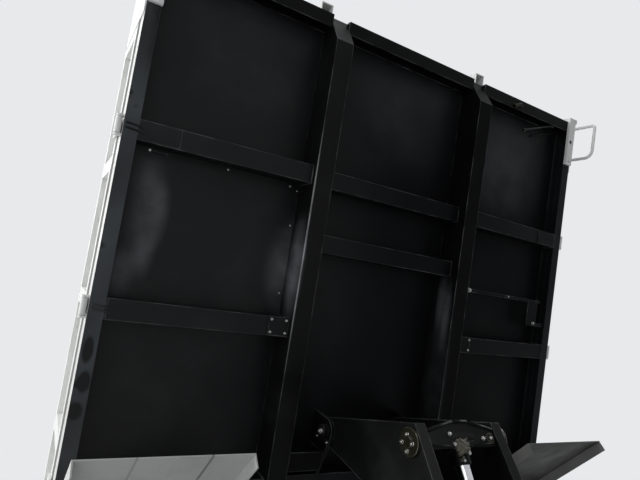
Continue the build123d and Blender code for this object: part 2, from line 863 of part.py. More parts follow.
# Ears under the sills that turn on the hinge pins
for side, sign in SIDES.items():
    with BuildPart() as ear:
        with BuildSketch(beside(BED, sign * ear_x - ear_width / 2)):
            Circle(lug_radius)
            with Locations((0, sill_low / 2)):
                Rectangle(2 * lug_radius, sill_low)
            Circle(pin_radius + pin_clearance, mode=Mode.SUBTRACT)
        extrude(amount=ear_width)
    finish(ear, f"body_ear_{side}")

# Brackets under the floor that hold the lift arm's pivot, with bearers to the sills
bracket_start = arm_outer + bracket_gap
bracket_end = bracket_start + bracket_width
bracket_back = member_fronts[2]
bearer_start = -arm_pivot_run + bearer_setback
with BuildPart(BED) as brackets:
    for sign in SIDES.values():
        with BuildSketch(beside(BED, sign * (bracket_start + bracket_width / 2) - bracket_width / 2)):
            with Locations((-arm_pivot_run, arm_pivot_rise)):
                Circle(arm_boss)
            with BuildLine():
                Polyline(
                    (bracket_back, floor_rise),
                    (-arm_pivot_run - bracket_nose, floor_rise),
                    (-arm_pivot_run - arm_boss, arm_pivot_rise),
                    (-arm_pivot_run, arm_pivot_rise - arm_boss),
                    (bracket_back, floor_rise - centre_depth),
                    close=True,
                )
            make_face()
            with Locations((-arm_pivot_run, arm_pivot_rise)):
                Circle(arm_pin_radius + pin_clearance, mode=Mode.SUBTRACT)
        extrude(amount=bracket_width)
        block(
            sign * bracket_end, sign * sill_inner, bearer_start, bearer_start + bearer_length,
            floor_rise - bearer_height, floor_rise,
        )
finish(brackets, "arm_brackets")

with BuildPart() as arm_pin:
    half = bracket_end + arm_pin_end
    with BuildSketch(beside(ARM, -half)):
        Circle(arm_pin_radius)
    extrude(amount=2 * half)
finish(arm_pin, "arm_pin")

# Lift arm: two thick plates wrapped round the arm's pivot, the corner over the knee, the toe ahead
# of the link's pin, and that pin. Columns: rearward, up, radius
arm_corners = [
    (0, 0, arm_boss),
    (-knee_reach - corner_reach, corner_rise, corner_radius),
    (-knee_reach - toe_reach, link_pin_z + arm_boss - corner_reach, toe_radius),
    (link_pin_y, link_pin_z, arm_boss),
]
for side, sign in SIDES.items():
    with BuildPart() as arm:
        with BuildSketch(beside(ARM, sign * arm_spacing / 2 - arm_thickness / 2)):
            with BuildLine():
                for y, z, radius in arm_corners:
                    CenterArc((y, z), radius, 0, 360)
            make_hull()
            Circle(arm_pin_radius + pin_clearance, mode=Mode.SUBTRACT)
        extrude(amount=arm_thickness)
    finish(arm, f"lift_arm_{side}")

# Tube round the pivot pin, between the arm plates
with BuildPart() as arm_tube:
    with BuildSketch(beside(ARM, -arm_inner)):
        Circle(tube_radius)
        Circle(arm_pin_radius + pin_clearance, mode=Mode.SUBTRACT)
    extrude(amount=2 * arm_inner)
finish(arm_tube, "arm_pivot_tube")

# Bolted flanges on the outside of the arm plates, at the knee
with BuildPart() as flanges:
    for sign in SIDES.values():
        with BuildSketch(beside(ARM, sign * arm_outer)):
            with Locations((-knee_reach, 0)):
                Circle(flange_radius)
        extrude(amount=sign * flange_thickness)
        with BuildSketch(beside(ARM, sign * (arm_outer + flange_thickness))):
            with Locations((-knee_reach, 0)):
                Circle(knee_pin_radius)
        extrude(amount=sign * flange_cap)
finish(flanges, "knee_flanges")

# Tension links: flat bars outside the arm, open at their upper pins
for side, sign in SIDES.items():
    with BuildPart() as link:
        with BuildSketch(beside(LINK, sign * link_middle - link_thickness / 2)):
            with BuildLine():
                CenterArc((0, 0), link_end_radius, 0, 360)
                CenterArc((-link_reach, 0), link_top_radius, 0, 360)
            make_hull()
            Circle(pin_radius + pin_clearance, mode=Mode.SUBTRACT)
        extrude(amount=link_thickness)
        with BuildSketch(beside(LINK, sign * (arm_outer + face_gap))):
            with Locations((-link_reach, 0)):
                Circle(link_spacer_radius)
        extrude(amount=sign * (arm_gap - face_gap))
        with BuildSketch(beside(LINK, sign * link_outer)):
            with Locations((-link_reach, 0)):
                Circle(pin_radius)
        extrude(amount=sign * pin_end)
    finish(link, f"tension_link_{side}")

# Cylinder: barrel with its base eye, gland, rod with its piston, and the rod's eye on the knee pin
barrel_end = retracted_reach - barrel_setback
bore_radius = barrel_radius - barrel_wall
with BuildPart() as barrel:
    with BuildSketch(beside(RAM, -eye_width / 2)):
        Circle(base_eye_radius)
        with Locations((-barrel_start / 2, 0)):
            Rectangle(barrel_start, base_neck_width)
        Circle(base_pin_radius + pin_clearance, mode=Mode.SUBTRACT)
    extrude(amount=eye_width)
    with BuildSketch(across(RAM, -barrel_start)):
        Circle(barrel_radius)
    extrude(amount=barrel_end - barrel_start)
    with BuildSketch(across(RAM, -barrel_start - barrel_bottom)):
        Circle(bore_radius)
    extrude(amount=barrel_end - barrel_start, mode=Mode.SUBTRACT)
finish(barrel, "cylinder_barrel")

with BuildPart() as gland:
    with BuildSketch(across(RAM, -barrel_end + gland_length)):
        Circle(bore_radius)
        Circle(rod_radius + pin_clearance, mode=Mode.SUBTRACT)
    extrude(amount=gland_length)
    with BuildSketch(across(RAM, -barrel_end)):
        Circle(barrel_radius)
        Circle(rod_radius + pin_clearance, mode=Mode.SUBTRACT)
    extrude(amount=gland_lip)
finish(gland, "cylinder_gland")

rod_tail = barrel_start + barrel_bottom + piston_rest + cylinder_reach - retracted_reach
rod_end = cylinder_reach - rod_eye_radius - rod_neck_length
with BuildPart() as rod:
    with BuildSketch(across(RAM, -rod_tail)):
        Circle(rod_radius)
    extrude(amount=rod_end - rod_tail)
    with BuildSketch(across(RAM, -rod_tail)):
        Circle(bore_radius - piston_gap)
    extrude(amount=piston_length)
finish(rod, "cylinder_rod")

with BuildPart() as rod_eye:
    with BuildSketch(across(RAM, -rod_end)):
        Circle(rod_neck_radius)
    extrude(amount=cylinder_reach - rod_end)
    with BuildSketch(beside(RAM, -eye_width / 2)):
        with Locations((-cylinder_reach, 0)):
            Circle(rod_eye_radius)
    extrude(amount=eye_width)
    with BuildSketch(beside(RAM, -arm_inner + face_gap)):
        with Locations((-cylinder_reach, 0)):
            Circle(knee_pin_radius)
    extrude(amount=2 * (arm_inner - face_gap))
finish(rod_eye, "rod_eye")

# Crosshead: an upright plate on the rod's eye, from one arm plate to the other, arched in the middle
with BuildPart() as crosshead:
    with BuildSketch(level(RAM, -crosshead_lead - crosshead_thickness)):
        half = arm_inner - face_gap
        low = crosshead_fall - cylinder_reach
        shoulder = -cylinder_reach - crosshead_rise
        crown = -cylinder_reach - arch_rise
        with BuildLine():
            Polyline(
                (-half, low),
                (-half, shoulder),
                (-arch_half_width, crown),
                (arch_half_width, crown),
                (half, shoulder),
                (half, low),
                close=True,
            )
        make_face()
    extrude(amount=crosshead_thickness)
    with BuildSketch(beside(RAM, -eye_width / 2)):
        with Locations((-cylinder_reach, 0)):
            Circle(rod_eye_radius)
    extrude(amount=eye_width, mode=Mode.SUBTRACT)
    with BuildSketch(across(RAM, -rod_end)):
        Circle(rod_neck_radius)
    extrude(amount=cylinder_reach - rod_end, mode=Mode.SUBTRACT)
finish(crosshead, "rod_crosshead")
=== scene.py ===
import json
from math import atan2, cos, pi, radians, sin
from random import Random

import bmesh
import bpy
from mathutils import Matrix, Vector


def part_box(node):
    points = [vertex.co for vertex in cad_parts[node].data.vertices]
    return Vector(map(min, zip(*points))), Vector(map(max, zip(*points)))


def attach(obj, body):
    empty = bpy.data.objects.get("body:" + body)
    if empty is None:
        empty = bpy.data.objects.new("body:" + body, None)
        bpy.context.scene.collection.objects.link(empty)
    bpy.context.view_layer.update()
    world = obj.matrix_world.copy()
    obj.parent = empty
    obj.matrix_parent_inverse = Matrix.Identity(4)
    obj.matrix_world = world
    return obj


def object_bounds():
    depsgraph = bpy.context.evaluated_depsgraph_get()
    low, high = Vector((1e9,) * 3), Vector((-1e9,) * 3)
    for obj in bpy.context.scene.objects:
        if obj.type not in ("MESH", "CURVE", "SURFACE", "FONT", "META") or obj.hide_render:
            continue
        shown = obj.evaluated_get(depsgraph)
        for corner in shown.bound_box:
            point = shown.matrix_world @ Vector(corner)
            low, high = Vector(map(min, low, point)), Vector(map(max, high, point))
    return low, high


# Looks of a raised tipping body with its hoist. Metres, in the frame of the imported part.
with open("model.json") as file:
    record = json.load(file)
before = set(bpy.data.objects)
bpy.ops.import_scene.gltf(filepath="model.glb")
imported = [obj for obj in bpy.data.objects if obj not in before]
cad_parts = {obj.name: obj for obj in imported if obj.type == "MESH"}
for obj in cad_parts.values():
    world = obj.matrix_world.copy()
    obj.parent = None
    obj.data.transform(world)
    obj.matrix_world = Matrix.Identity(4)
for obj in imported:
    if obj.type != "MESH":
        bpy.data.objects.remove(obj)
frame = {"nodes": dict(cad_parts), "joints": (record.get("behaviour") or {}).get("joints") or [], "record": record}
nodes = frame["nodes"]
record = frame["record"]
cad_box = [list(corner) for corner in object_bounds()]
chance = Random(7)

# Frames of the moving pieces, read from the joints and the nodes at rest
joints = {joint["name"]: joint for joint in frame["joints"]}
tip_angle = radians(joints["body_tip"]["range_deg"][1])
BED = Matrix.Translation(Vector(joints["body_tip"]["pos_m"])) @ Matrix.Rotation(-tip_angle, 4, "X")
low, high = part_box("knee_flanges")
knee = Vector((0, (low[1] + high[1]) / 2, (low[2] + high[2]) / 2))
flange_rim = 0.005
flange_face = high[0] - flange_rim
base = Vector(joints["cylinder_turn"]["pos_m"])
ram_angle = atan2(knee.z - base.z, base.y - knee.y)
RAM = Matrix.Translation(knee) @ Matrix.Rotation(-ram_angle, 4, "X")
arm_pivot = Vector(joints["lift_arm_turn"]["pos_m"])

# Lines of the body in its own frame
FRONT = -2.950
FLOOR = 0.165
SILL_OUTER = 0.366
SILL_INNER = 0.301
RAIL_INNER = 0.909
RAIL_FACE = 0.9495
FIRST_MEMBER = FRONT + 0.529
MEMBER_STEP = 0.501
SECOND_CENTRE = FRONT + 0.745
MEMBERS = [FIRST_MEMBER + n * MEMBER_STEP for n in range(5)]
CENTRES = [MEMBERS[0], SECOND_CENTRE] + MEMBERS[2:]
MEMBER_WIDTH = 0.060
DEPTH_AT_SILL = 0.086
DEPTH_AT_RAIL = 0.058
CENTRE_DEPTH = 0.070

# Camera, where the photographer stood
camera_place = Vector((-1.078, -2.352, 0.798))
camera_heading = radians(37.6)
camera_rise = radians(38.47)
camera_roll = radians(-14.26)
camera_lens = 27.82

# Colours, linear
WHITE = (0.75, 0.755, 0.74)
WHITE_GRIME = (0.36, 0.345, 0.315)
BLACK = (0.0050, 0.0054, 0.0062)
BLACK_DUST = (0.030, 0.031, 0.032)
# Mid grey: painted edge highlights along with wear on the black parts; painted shade in the left guard's creases
MID_GREY = (0.26, 0.265, 0.27)
RAIL_DUST = (0.068, 0.077, 0.084)
HOIST = (0.0036, 0.0038, 0.0040)
ZINC = (0.34, 0.32, 0.22)
ZINC_STAIN = (0.10, 0.09, 0.06)
BRONZE = (0.012, 0.011, 0.006)
BRIGHT = (0.50, 0.50, 0.47)
CHROME = (0.60, 0.61, 0.62)
OIL_FILM = (0.35, 0.35, 0.34)
# Painted shade on the guards' lower and inner faces
UNDERSIDE_SHADE = (0.034, 0.035, 0.029)
# Painted sheen of the sky on the black underside; also the rubbed top of the floor
SHEEN = (0.155, 0.162, 0.172)
# Painted highlight along the left sill's lower edge
EDGE_HIGHLIGHT = (0.45, 0.46, 0.47)
GREASE = (0.022, 0.020, 0.011)
RUBBER = (0.012, 0.012, 0.012)
FLOOR_COLOUR = (0.52, 0.53, 0.54)
SKY = (0.80, 0.815, 0.83)


class Material:
    """A node material with short calls for the nodes that it uses."""

    def __init__(self, name):
        self.data = bpy.data.materials.new(name)
        self.data.use_nodes = True
        self.tree = self.data.node_tree
        self.shader = self.tree.nodes["Principled BSDF"]
        coordinates = self.add("ShaderNodeTexCoord").outputs
        self.place = coordinates["Object"]
        self.facing = coordinates["Normal"]

    def add(self, kind, **values):
        node = self.tree.nodes.new(kind)
        for key, value in values.items():
            setattr(node, key, value)
        return node

    def link(self, output, target):
        self.tree.links.new(output, target)

    def noise(self, scale, detail=3.0, stretch=(1, 1, 1), roughness=0.55):
        """Noise by place on the piece, from 0 to 1."""
        mapping = self.add("ShaderNodeMapping")
        mapping.inputs["Scale"].default_value = stretch
        self.link(self.place, mapping.inputs["Vector"])
        node = self.add("ShaderNodeTexNoise")
        node.inputs["Scale"].default_value = scale
        node.inputs["Detail"].default_value = detail
        node.inputs["Roughness"].default_value = roughness
        self.link(mapping.outputs["Vector"], node.inputs["Vector"])
        return node.outputs["Fac"]

    def spread(self, value, low, high, out_low=0.0, out_high=1.0):
        """Maps a value's range to another, held at both ends."""
        node = self.add("ShaderNodeMapRange", interpolation_type="SMOOTHSTEP")
        node.inputs["From Min"].default_value = low
        node.inputs["From Max"].default_value = high
        node.inputs["To Min"].default_value = out_low
        node.inputs["To Max"].default_value = out_high
        self.link(value, node.inputs["Value"])
        return node.outputs["Result"]

    def axes(self, vector):
        """The three numbers of a vector."""
        node = self.add("ShaderNodeSeparateXYZ")
        self.link(vector, node.inputs["Vector"])
        return node.outputs

    def combine(self, operation, first, second=0.0):
        """Arithmetic on two values, each a socket or a number."""
        node = self.add("ShaderNodeMath", operation=operation)
        for socket, value in zip(node.inputs, (first, second)):
            if isinstance(value, (float, int)):
                socket.default_value = value
            else:
                self.link(value, socket)
        return node.outputs[0]

    def mix(self, share, first, second):
        """A colour between two colours, by a share."""
        node = self.add("ShaderNodeMix", data_type="RGBA")
        self.link(share, node.inputs["Factor"])
        for socket, colour in ((node.inputs["A"], first), (node.inputs["B"], second)):
            if isinstance(colour, tuple):
                socket.default_value = (*colour, 1)
            else:
                self.link(colour, socket)
        return node.outputs["Result"]

    def bevel(self, radius):
        """The surface's direction with its edges rounded."""
        node = self.add("ShaderNodeBevel", samples=4)
        node.inputs["Radius"].default_value = radius
        return node.outputs["Normal"]

    def edges(self, radius, low, high):
        """Where the piece's edges are, broken up by noise."""
        normal = self.add("ShaderNodeNewGeometry").outputs["Normal"]
        dot = self.add("ShaderNodeVectorMath", operation="DOT_PRODUCT")
        self.link(self.bevel(radius), dot.inputs[0])
        self.link(normal, dot.inputs[1])
        turned = self.combine("SUBTRACT", 1.0, dot.outputs["Value"])
        lit_and_worn_edges = self.spread(self.noise(14.0, 4.0), 0.38, 0.66, 0.15, 1.0)
        return self.combine("MULTIPLY", self.spread(turned, low, high), lit_and_worn_edges)

    def dust_and_reflection_share(self, front=0.80):
        """A share that rises to the left and towards the front: more dust and a higher specular level there, real
        dust along with a painted brighter reflection of the sky on the left.
        """
        axes = self.axes(self.place)
        left = self.spread(axes["X"], -0.55, 0.10, 1.0, 0.20)
        return self.combine("MAXIMUM", left, self.spread(axes["Z"], 1.95, 2.40, 0.0, front))

    def lay_patches(self, colour, rows):
        """Lays soft patches from a table over a colour, such as painted sheens, highlights and shade, and dark
        scuffs; noise breaks their shares.
        """
        uneven = self.spread(self.noise(9.0, 5.0), 0.30, 0.65, 0.45, 1.0)
        for centre, size, share, tint in rows:
            spot = self.combine("MULTIPLY", self.patch(BED @ Vector(centre), size), share)
            colour = self.mix(self.combine("MULTIPLY", spot, uneven), colour, tint)
        return colour

    def patch(self, centre, size):
        """A soft oval patch round a place of the piece, as a share."""
        mapping = self.add("ShaderNodeMapping", vector_type="TEXTURE")
        mapping.inputs["Location"].default_value = centre
        mapping.inputs["Rotation"].default_value = (-tip_angle, 0, 0)
        mapping.inputs["Scale"].default_value = size
        self.link(self.place, mapping.inputs["Vector"])
        length = self.add("ShaderNodeVectorMath", operation="LENGTH")
        self.link(mapping.outputs["Vector"], length.inputs[0])
        return self.spread(length.outputs["Value"], 0.1, 1.0, 1.0, 0.0)

    def relief(self, height, depth, edge=0.0015):
        """Bump over edges that are rounded a little."""
        bump = self.add("ShaderNodeBump")
        bump.inputs["Distance"].default_value = depth
        self.link(height, bump.inputs["Height"])
        self.link(self.bevel(edge), bump.inputs["Normal"])
        self.link(bump.outputs["Normal"], self.shader.inputs["Normal"])

    def set(self, **values):
        """Sets or links inputs of the shader by their names."""
        for key, value in values.items():
            socket = self.shader.inputs[key.replace("_", " ")]
            if isinstance(value, (float, int)):
                socket.default_value = value
            else:
                self.link(value, socket)


# Patches in the body's frame, mostly painted light (sheens, highlights, shade) with a few dark scuffs: centre,
# half sizes, share, colour; a share over 1 gives a crisper rim
# Painted shade: dark lines along two creases of the left guard
GUARD_CREASE_SHADE = [
    ((-0.815, -1.300, 0.0), (0.0050, 3.0, 3.0), 0.7, MID_GREY),
    ((-0.636, -1.300, 0.0), (0.0055, 3.0, 3.0), 1.2, MID_GREY),
]
# Painted sheens: soft reflections of the sky on the floor's underside, by the left rail, by the left sill and in
# the front bays
FLOOR_SHEENS = [
    ((-0.850, -2.200, FLOOR), (0.065, 0.200, 1.0), 0.45, SHEEN),
    ((-0.806, -2.170, FLOOR), (0.040, 0.130, 1.0), 0.55, SHEEN),
    ((-0.832, -2.060, FLOOR), (0.045, 0.110, 1.0), 0.50, SHEEN),
    ((-0.880, -1.990, FLOOR), (0.050, 0.100, 1.0), 0.50, SHEEN),
    ((-0.360, -2.080, FLOOR), (0.100, 0.200, 1.0), 0.80, SHEEN),
    ((-0.620, -2.780, FLOOR), (0.300, 0.260, 1.0), 0.03, SHEEN),
    ((0.000, -2.720, FLOOR), (0.300, 0.300, 1.0), 0.07, SHEEN),
    ((0.600, -2.640, FLOOR), (0.280, 0.330, 1.0), 0.18, SHEEN),
]
# Painted reflections on the sills' webs, and a painted highlight along the left sill's lower outer edge
SILL_SHEENS = [
    ((-0.366, -2.080, 0.105), (0.020, 0.210, 0.080), 1.00, SHEEN),
    ((0.301, -2.060, 0.125), (0.020, 0.160, 0.035), 0.55, SHEEN),
    ((0.301, -1.990, 0.090), (0.020, 0.170, 0.030), 0.55, SHEEN),
    ((0.301, -1.720, 0.100), (0.020, 0.480, 0.090), 0.22, SHEEN),
    ((-0.366, -2.150, 0.055), (0.006, 0.520, 0.006), 1.00, EDGE_HIGHLIGHT),
]
RAIL_SCUFFS_AND_SHADE = [
    ((-0.931, -1.778, 0.105), (0.018, 0.046, 0.050), 3.0, BLACK),
    ((-0.926, -1.692, 0.105), (0.021, 0.038, 0.050), 3.0, BLACK),
    ((-0.935, -1.616, 0.105), (0.024, 0.032, 0.050), 3.0, BLACK),
    # Painted shade along the rail's inner edge, towards the front
    ((-0.905, -2.920, 0.105), (0.040, 0.480, 0.300), 2.2, BLACK),
]


def white_paint(name, overlay_share=0.0):
    """Grimy white; the share given adds painted shade: dark lines along creases, and darkening on faces that
    aren't turned up or towards +X.
    """
    m = Material(name)
    grime = m.spread(m.noise(5.0, 6.0), 0.50, 0.80, 0.0, 0.40)
    streaks = m.spread(m.noise(7.0, 4.0, (6, 1, 1)), 0.55, 0.80, 0.0, 0.25)
    colour = m.mix(streaks, m.mix(grime, WHITE, WHITE_GRIME), WHITE_GRIME)
    if overlay_share:
        colour = m.lay_patches(colour, GUARD_CREASE_SHADE)
        # Painted shade: the guards darker on faces turned down or away from +X
        facing = m.axes(m.facing)
        shaded_side = m.spread(m.combine("MAXIMUM", facing["X"], facing["Z"]), 0.20, 0.60, overlay_share, 0.15 * overlay_share)
        upright = m.spread(m.combine("ABSOLUTE", facing["X"]), 0.30, 0.80, 1.0, 0.78)
        shaded_side = m.combine("MULTIPLY", shaded_side, upright)
        patchy = m.spread(m.noise(6.0, 5.0), 0.30, 0.65, 0.92, 1.0)
        colour = m.mix(m.combine("MULTIPLY", shaded_side, patchy), colour, UNDERSIDE_SHADE)
    m.set(Base_Color=colour, Specular_IOR_Level=0.25)
    m.set(Roughness=m.spread(m.noise(9.0), 0.3, 0.7, 0.45, 0.60))
    m.relief(m.noise(60.0, 2.0), 0.0006)
    return m


def black_paint(name, colour, gloss_low, gloss_high, edge_share=0.8, gloss_share=0.28, rows=(), front=0.80):
    """Dusty black with edges lightened, wear along with a painted highlight, and, where rows are given, painted
    patches.
    """
    m = Material(name)
    # Dust and gloss rise to the left: real dust along with a painted brighter reflection there
    dust_and_reflection_share = m.dust_and_reflection_share(front)
    dust_and_sheen = m.combine("MULTIPLY", m.spread(m.noise(3.5, 8.0, roughness=0.65), 0.46, 0.80, 0.0, 0.45), dust_and_reflection_share)
    # Edges lightened: wear along with a painted edge highlight
    lit_and_worn_edges = m.combine("MULTIPLY", m.edges(0.0040, 0.01, 0.16), edge_share)
    m.set(Base_Color=m.mix(lit_and_worn_edges, m.lay_patches(m.mix(dust_and_sheen, colour, BLACK_DUST), rows), MID_GREY))
    m.set(Roughness=m.spread(m.noise(7.0, 5.0), 0.3, 0.7, gloss_low, gloss_high))
    m.set(Specular_IOR_Level=m.combine("MULTIPLY", dust_and_reflection_share, gloss_share))
    m.relief(m.noise(45.0, 4.0), 0.0005)
    return m


def floor_paint():
    """Black with painted sheens below, rubbed along its length above."""
    m = Material("floor_paint")
    # Dust and gloss rise to the left: real dust along with a painted brighter reflection there
    dust_and_reflection_share = m.dust_and_reflection_share()
    dust_and_sheen = m.combine("MULTIPLY", m.spread(m.noise(2.2, 8.0, roughness=0.7), 0.45, 0.8, 0.0, 0.45), dust_and_reflection_share)
    # Painted sheens on the underside
    below = m.lay_patches(m.mix(dust_and_sheen, BLACK, BLACK_DUST), FLOOR_SHEENS)
    rubbed = m.spread(m.noise(9.0, 8.0, (9, 1, 1), 0.7), 0.42, 0.75, 0.05, 0.75)
    above = m.mix(rubbed, BLACK_DUST, SHEEN)
    colour = m.mix(m.combine("GREATER_THAN", m.axes(m.facing)["Z"], 0.0), below, above)
    m.set(Base_Color=colour, Specular_IOR_Level=m.combine("MULTIPLY", dust_and_reflection_share, 0.30))
    m.set(Roughness=m.spread(m.noise(4.0, 5.0), 0.3, 0.7, 0.34, 0.50))
    m.relief(m.noise(3.0, 2.0), 0.003)
    return m


def rail_paint():
    """Black below and inside, white on the outer side."""
    m = Material("rail_paint")
    out = m.combine("ABSOLUTE", m.axes(m.place)["X"])
    outer = m.combine("GREATER_THAN", out, RAIL_FACE)
    flange = m.combine("GREATER_THAN", out, RAIL_INNER - 0.001)
    # Dust and gloss rise to the left: real dust along with a painted brighter reflection there
    dust_and_reflection_share = m.dust_and_reflection_share(0.2)
    dust_and_sheen = m.combine("MULTIPLY", m.spread(m.noise(3.0, 7.0), 0.30, 0.75, 0.25, 0.95), dust_and_reflection_share)
    # Edges lightened: wear along with a painted edge highlight
    lit_and_worn_edges = m.combine("MULTIPLY", m.edges(0.0030, 0.02, 0.25), 0.3)
    scuffs = m.spread(m.noise(12.0, 3.0), 0.62, 0.70)
    dust_scuffs_and_shade = m.mix(scuffs, m.mix(m.combine("MULTIPLY", dust_and_sheen, flange), BLACK, RAIL_DUST), BLACK)
    # Dark scuffs, and painted shade along the inner edge at the front
    dust_scuffs_and_shade = m.lay_patches(dust_scuffs_and_shade, RAIL_SCUFFS_AND_SHADE)
    grime = m.spread(m.noise(5.0, 6.0), 0.40, 0.75, 0.20, 0.60)
    m.set(Base_Color=m.mix(outer, m.mix(lit_and_worn_edges, dust_scuffs_and_shade, MID_GREY), m.mix(grime, WHITE, WHITE_GRIME)))
    m.set(Roughness=m.spread(m.noise(7.0, 5.0), 0.3, 0.7, 0.35, 0.5))
    m.set(Specular_IOR_Level=m.combine("MULTIPLY", dust_and_reflection_share, 0.3))
    m.relief(m.noise(45.0, 4.0), 0.0005)
    return m


def metal(name, colour, stain, stain_share, gloss_low, gloss_high):
    """Plated or bare metal with stains."""
    m = Material(name)
    spots = m.spread(m.noise(40.0, 6.0), 0.45, 0.75, 0.0, stain_share)
    m.set(Base_Color=m.mix(spots, colour, stain), Metallic=0.9)
    m.set(Roughness=m.spread(m.noise(40.0), 0.3, 0.7, gloss_low, gloss_high))
    m.relief(m.noise(120.0), 0.0002, edge=0.0008)
    return m


def bronze_flange():
    """Dark greasy plating, with a painted highlight along the forward side of its rim."""
    m = Material("bronze_flange")
    # Painted highlight along the forward side of the rim
    lit_side = m.spread(m.axes(m.place)["Y"], knee.y - 0.025, knee.y + 0.010, 1.0, 0.1)
    highlight_rim = m.combine("MULTIPLY", m.edges(0.0030, 0.02, 0.15), lit_side)
    spots = m.spread(m.noise(60.0, 4.0), 0.62, 0.74, 0.0, 0.2)
    m.set(Base_Color=m.mix(highlight_rim, m.mix(spots, BRONZE, ZINC_STAIN), BRIGHT), Metallic=0.3)
    m.set(Roughness=m.spread(m.noise(40.0), 0.3, 0.7, 0.30, 0.50), Specular_IOR_Level=0.1)
    m.relief(m.noise(120.0), 0.0002, edge=0.0008)
    return m


def chrome_rod():
    """Polished chrome with a thin film of oil."""
    m = Material("chrome_rod")
    overlay_share = m.spread(m.noise(25.0, 4.0, (1, 4, 4)), 0.4, 0.8, 0.0, 0.35)
    m.set(Base_Color=m.mix(overlay_share, CHROME, OIL_FILM), Metallic=1.0)
    m.set(Roughness=m.spread(m.noise(14.0), 0.3, 0.7, 0.10, 0.2))
    m.relief(m.noise(90.0), 0.0001)
    return m


def soft(name, colour, other, roughness, depth):
    """Rubber or grease: two colours in patches over a bumpy surface."""
    m = Material(name)
    m.set(Base_Color=m.mix(m.noise(30.0), colour, other), Roughness=roughness)
    m.relief(m.noise(110.0), depth)
    return m


PAINTS = {
    "white_paint": white_paint("white_paint"),
    # White for the guards, with painted shade on their lower and inner faces and in their creases
    "white_light_shade": white_paint("white_light_shade", overlay_share=0.36),
    "white_deep_shade": white_paint("white_deep_shade", overlay_share=1.0),
    "black_paint": black_paint("black_paint", BLACK, 0.34, 0.50),
    # The sills carry painted reflections and a painted edge highlight
    "sill_paint": black_paint("sill_paint", HOIST, 0.34, 0.50, gloss_share=0.20, rows=SILL_SHEENS, front=0.20),
    "shade_paint": black_paint("shade_paint", HOIST, 0.40, 0.55, edge_share=0.7, gloss_share=0.10),
    "floor_paint": floor_paint(),
    "rail_paint": rail_paint(),
    "hoist_paint": black_paint("hoist_paint", HOIST, 0.36, 0.52, edge_share=0.6, gloss_share=0.30),
    "eye_paint": black_paint("eye_paint", HOIST, 0.36, 0.52, edge_share=0.12, gloss_share=0.30),
    "zinc": metal("zinc", ZINC, ZINC_STAIN, 0.8, 0.34, 0.55),
    "bronze_flange": bronze_flange(),
    "bright_bolt": metal("bright_bolt", BRIGHT, ZINC, 0.4, 0.18, 0.35),
    "chrome_rod": chrome_rod(),
    "pad_rubber": soft("pad_rubber", RUBBER, BLACK_DUST, 0.8, 0.0006),
    "grease": soft("grease", GREASE, ZINC_STAIN, 0.45, 0.003),
}

# Nodes that look other than their slot's paint
REPAINTED = {
    "side_rail_left": "rail_paint",
    "side_rail_right": "rail_paint",
    "sill_left": "sill_paint",
    "sill_right": "sill_paint",
    "front_rail": "shade_paint",
    "arm_brackets": "shade_paint",
    "arm_pin": "hoist_paint",
    "knee_flanges": "bronze_flange",
    "rod_crosshead": "eye_paint",
    "rod_eye": "eye_paint",
    "mudguard_right": "white_light_shade",
    "mudguard_left": "white_deep_shade",
}


def paint(piece, name):
    """Gives a piece its material, in place of any that it has."""
    piece.data.materials.clear()
    piece.data.materials.append(PAINTS[name].data)


for subpart in record["subparts"]:
    node = nodes[subpart["node"]]
    paint(node, REPAINTED.get(subpart["node"], subpart["material_slot"]))


ROD_SIDES = 14
DOWN = (0, 0, -1)


